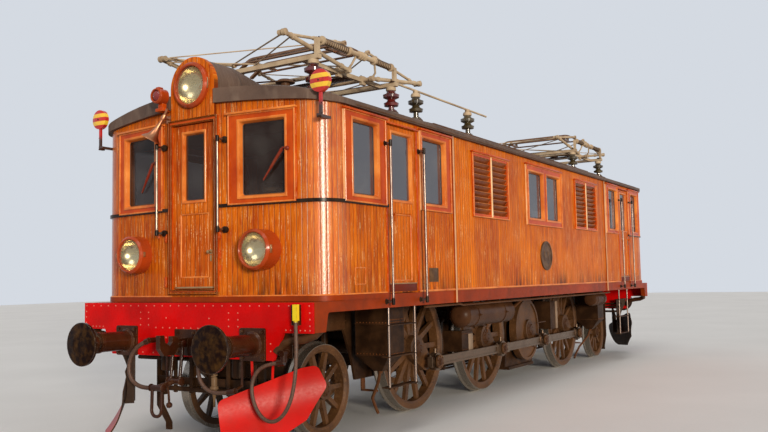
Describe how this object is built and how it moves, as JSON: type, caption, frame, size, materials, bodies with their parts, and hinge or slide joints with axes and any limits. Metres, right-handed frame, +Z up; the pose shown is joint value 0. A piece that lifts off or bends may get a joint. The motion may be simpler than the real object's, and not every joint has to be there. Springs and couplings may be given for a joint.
{
  "type": "electric rod locomotive",
  "caption": "Wooden-bodied electric locomotive with rod-coupled spoked drivers, end trucks, two pantographs, ploughs, side buffers and hinged cab doors.",
  "frame": {"origin": "under the middle of the locomotive, at the lowest point of the wheel flanges, 28 mm below the rails' top", "axes": "+X towards the front, +Y to its left, +Z up"},
  "size_m": [13, 3.366, 4.4903],
  "materials": {
    "varnished_wood": "glossy varnish over vertical boards",
    "red_wood": "varnished darker than the boards",
    "interior_paint": "satin",
    "roof_paint": "matt, weathered",
    "rust_paint": "satin",
    "red_paint": "gloss",
    "frame_paint": "oily, dusty",
    "black_iron": "worn",
    "wheel_steel": "painted spokes, dusty",
    "rod_steel": "oiled",
    "rail_steel": "handled",
    "lamp_brass": "polished",
    "signal_paint": "red and yellow bands",
    "collector_metal": "weathered",
    "porcelain": "glazed",
    "clear_glass": "clear",
    "hose_rubber": "matt"
  },
  "bodies": {
    "locomotive": {"main_frame": "frame_paint", "underframe": "rust_paint", "wheel_casings": "interior_paint", "buffer_beams": "red_paint", "buffers": "black_iron", "draw_gear": "black_iron", "cab_sides": "varnished_wood", "machine_room_sides": "varnished_wood", "cab_ends": "varnished_wood", "bulkheads": "interior_paint", "roof_middle": "roof_paint", "roof_ends": "roof_paint", "window_frames": "red_wood", "window_glass": "clear_glass", "louvres": "varnished_wood", "body_trim": "rust_paint", "steps_and_rails": "rail_steel", "headlamps": "lamp_brass", "lamp_glasses": "clear_glass", "end_signals": "signal_paint", "air_tanks": "frame_paint", "sandboxes": "frame_paint", "ploughs": "red_paint", "brake_gear": "frame_paint", "motor_block": "frame_paint", "transformer_block": "frame_paint", "control_desks": "interior_paint", "pantograph_bases": "collector_metal", "insulators": "porcelain", "busbar": "collector_metal", "hose_fittings": "black_iron", "brake_hose": "hose_rubber", "heating_hose": "hose_rubber", "jumper_cable": "hose_rubber"},
    "driver_2": {"driver_2": "wheel_steel"},
    "driver_1": {"driver_1": "wheel_steel"},
    "driver_3": {"driver_3": "wheel_steel"},
    "jackshaft": {"jackshaft": "wheel_steel"},
    "side_rods_left": {"side_rods_left": "rod_steel"},
    "side_rods_right": {"side_rods_right": "rod_steel"},
    "pony_frame_front": {"pony_frame_front": "frame_paint"},
    "pony_wheels_front": {"pony_wheels_front": "wheel_steel"},
    "pony_frame_rear": {"pony_frame_rear": "frame_paint"},
    "pony_wheels_rear": {"pony_wheels_rear": "wheel_steel"},
    "side_door_front_left": {"side_door_front_left": "varnished_wood"},
    "side_door_front_right": {"side_door_front_right": "varnished_wood"},
    "side_door_rear_left": {"side_door_rear_left": "varnished_wood"},
    "side_door_rear_right": {"side_door_rear_right": "varnished_wood"},
    "end_door_front": {"end_door_front": "varnished_wood"},
    "end_door_rear": {"end_door_rear": "varnished_wood"},
    "pantograph_front_lower_front": {"pantograph_front_lower_front": "collector_metal"},
    "pantograph_front_lower_rear": {"pantograph_front_lower_rear": "collector_metal"},
    "pantograph_front_upper_front": {"pantograph_front_upper_front": "collector_metal"},
    "pantograph_front_upper_rear": {"pantograph_front_upper_rear": "collector_metal"},
    "pantograph_front_head": {"pantograph_front_head": "collector_metal"},
    "pantograph_rear_lower_front": {"pantograph_rear_lower_front": "collector_metal"},
    "pantograph_rear_lower_rear": {"pantograph_rear_lower_rear": "collector_metal"},
    "pantograph_rear_upper_front": {"pantograph_rear_upper_front": "collector_metal"},
    "pantograph_rear_upper_rear": {"pantograph_rear_upper_rear": "collector_metal"},
    "pantograph_rear_head": {"pantograph_rear_head": "collector_metal"}
  },
  "joints": [
    {"name": "driver_2_spin", "type": "hinge", "parent": "locomotive", "child": "driver_2", "pos_m": [0.7, 0, 0.793], "axis": [0, 1, 0], "continuous": true},
    {"name": "driver_1_spin", "type": "hinge", "parent": "locomotive", "child": "driver_1", "pos_m": [2.75, 0, 0.793], "axis": [0, 1, 0], "continuous": true},
    {"name": "driver_3_spin", "type": "hinge", "parent": "locomotive", "child": "driver_3", "pos_m": [-2.75, 0, 0.793], "axis": [0, 1, 0], "continuous": true},
    {"name": "jackshaft_spin", "type": "hinge", "parent": "locomotive", "child": "jackshaft", "pos_m": [-1.025, 0, 0.793], "axis": [0, 1, 0], "continuous": true},
    {"name": "side_rods_left_turn", "type": "hinge", "parent": "driver_2", "child": "side_rods_left", "pos_m": [0.47463, 1, 0.6105], "axis": [0, 1, 0], "continuous": true},
    {"name": "side_rods_right_turn", "type": "hinge", "parent": "driver_2", "child": "side_rods_right", "pos_m": [0.8825, -1, 0.56763], "axis": [0, 1, 0], "continuous": true},
    {"name": "pony_front_swivel", "type": "hinge", "parent": "locomotive", "child": "pony_frame_front", "pos_m": [3.56, 0, 0.728], "axis": [0, 0, 1], "range_deg": [-3, 3]},
    {"name": "pony_front_spin", "type": "hinge", "parent": "pony_frame_front", "child": "pony_wheels_front", "pos_m": [4.7, 0, 0.513], "axis": [0, 1, 0], "continuous": true},
    {"name": "pony_rear_swivel", "type": "hinge", "parent": "locomotive", "child": "pony_frame_rear", "pos_m": [-3.56, 0, 0.728], "axis": [0, 0, 1], "range_deg": [-3, 3]},
    {"name": "pony_rear_spin", "type": "hinge", "parent": "pony_frame_rear", "child": "pony_wheels_rear", "pos_m": [-4.7, 0, 0.513], "axis": [0, 1, 0], "continuous": true},
    {"name": "side_door_front_left_swing", "type": "hinge", "parent": "locomotive", "child": "side_door_front_left", "pos_m": [3.968, 1.53, 2.45], "axis": [0, 0, -1], "range_deg": [0, 85]},
    {"name": "side_door_front_right_swing", "type": "hinge", "parent": "locomotive", "child": "side_door_front_right", "pos_m": [3.968, -1.53, 2.45], "axis": [0, 0, 1], "range_deg": [0, 85]},
    {"name": "side_door_rear_left_swing", "type": "hinge", "parent": "locomotive", "child": "side_door_rear_left", "pos_m": [-3.968, 1.53, 2.45], "axis": [0, 0, 1], "range_deg": [0, 85]},
    {"name": "side_door_rear_right_swing", "type": "hinge", "parent": "locomotive", "child": "side_door_rear_right", "pos_m": [-3.968, -1.53, 2.45], "axis": [0, 0, -1], "range_deg": [0, 85]},
    {"name": "end_door_front_swing", "type": "hinge", "parent": "locomotive", "child": "end_door_front", "pos_m": [5.735, -0.292, 2.45], "axis": [0, 0, 1], "range_deg": [0, 85]},
    {"name": "end_door_rear_swing", "type": "hinge", "parent": "locomotive", "child": "end_door_rear", "pos_m": [-5.735, 0.292, 2.45], "axis": [0, 0, 1], "range_deg": [0, 85]},
    {"name": "pantograph_front_raise", "type": "hinge", "parent": "locomotive", "child": "pantograph_front_lower_front", "pos_m": [4.25, 0, 4.078], "axis": [0, -1, 0], "range_deg": [0, 57]},
    {"name": "pantograph_front_lower_rear_turn", "type": "hinge", "parent": "locomotive", "child": "pantograph_front_lower_rear", "pos_m": [3.75, 0, 4.078], "axis": [0, 1, 0], "range_deg": [0, 57]},
    {"name": "pantograph_front_knee_front_turn", "type": "hinge", "parent": "pantograph_front_lower_front", "child": "pantograph_front_upper_front", "pos_m": [5.40366, 0, 4.24014], "axis": [0, 1, 0], "range_deg": [0, 114]},
    {"name": "pantograph_front_knee_rear_turn", "type": "hinge", "parent": "pantograph_front_lower_rear", "child": "pantograph_front_upper_rear", "pos_m": [2.59634, 0, 4.24014], "axis": [0, -1, 0], "range_deg": [0, 114]},
    {"name": "pantograph_front_head_turn", "type": "hinge", "parent": "pantograph_front_upper_front", "child": "pantograph_front_head", "pos_m": [4.25, 0, 4.40227], "axis": [0, -1, 0], "range_deg": [0, 57]},
    {"name": "pantograph_rear_raise", "type": "hinge", "parent": "locomotive", "child": "pantograph_rear_lower_front", "pos_m": [-3.75, 0, 4.078], "axis": [0, -1, 0], "range_deg": [0, 57]},
    {"name": "pantograph_rear_lower_rear_turn", "type": "hinge", "parent": "locomotive", "child": "pantograph_rear_lower_rear", "pos_m": [-4.25, 0, 4.078], "axis": [0, 1, 0], "range_deg": [0, 57]},
    {"name": "pantograph_rear_knee_front_turn", "type": "hinge", "parent": "pantograph_rear_lower_front", "child": "pantograph_rear_upper_front", "pos_m": [-2.59634, 0, 4.24014], "axis": [0, 1, 0], "range_deg": [0, 114]},
    {"name": "pantograph_rear_knee_rear_turn", "type": "hinge", "parent": "pantograph_rear_lower_rear", "child": "pantograph_rear_upper_rear", "pos_m": [-5.40366, 0, 4.24014], "axis": [0, -1, 0], "range_deg": [0, 114]},
    {"name": "pantograph_rear_head_turn", "type": "hinge", "parent": "pantograph_rear_upper_front", "child": "pantograph_rear_head", "pos_m": [-3.75, 0, 4.40227], "axis": [0, -1, 0], "range_deg": [0, 57]}
  ],
  "couplings": [
    {"joint": "driver_1_spin", "follows": "driver_2_spin", "ratio": 1},
    {"joint": "driver_3_spin", "follows": "driver_2_spin", "ratio": 1},
    {"joint": "jackshaft_spin", "follows": "driver_2_spin", "ratio": 1},
    {"joint": "side_rods_left_turn", "follows": "driver_2_spin", "ratio": -1},
    {"joint": "side_rods_right_turn", "follows": "driver_2_spin", "ratio": -1},
    {"joint": "pantograph_front_lower_rear_turn", "follows": "pantograph_front_raise", "ratio": 1},
    {"joint": "pantograph_front_knee_front_turn", "follows": "pantograph_front_raise", "ratio": 2},
    {"joint": "pantograph_front_knee_rear_turn", "follows": "pantograph_front_raise", "ratio": 2},
    {"joint": "pantograph_front_head_turn", "follows": "pantograph_front_raise", "ratio": 1},
    {"joint": "pantograph_rear_lower_rear_turn", "follows": "pantograph_rear_raise", "ratio": 1},
    {"joint": "pantograph_rear_knee_front_turn", "follows": "pantograph_rear_raise", "ratio": 2},
    {"joint": "pantograph_rear_knee_rear_turn", "follows": "pantograph_rear_raise", "ratio": 2},
    {"joint": "pantograph_rear_head_turn", "follows": "pantograph_rear_raise", "ratio": 1}
  ]
}
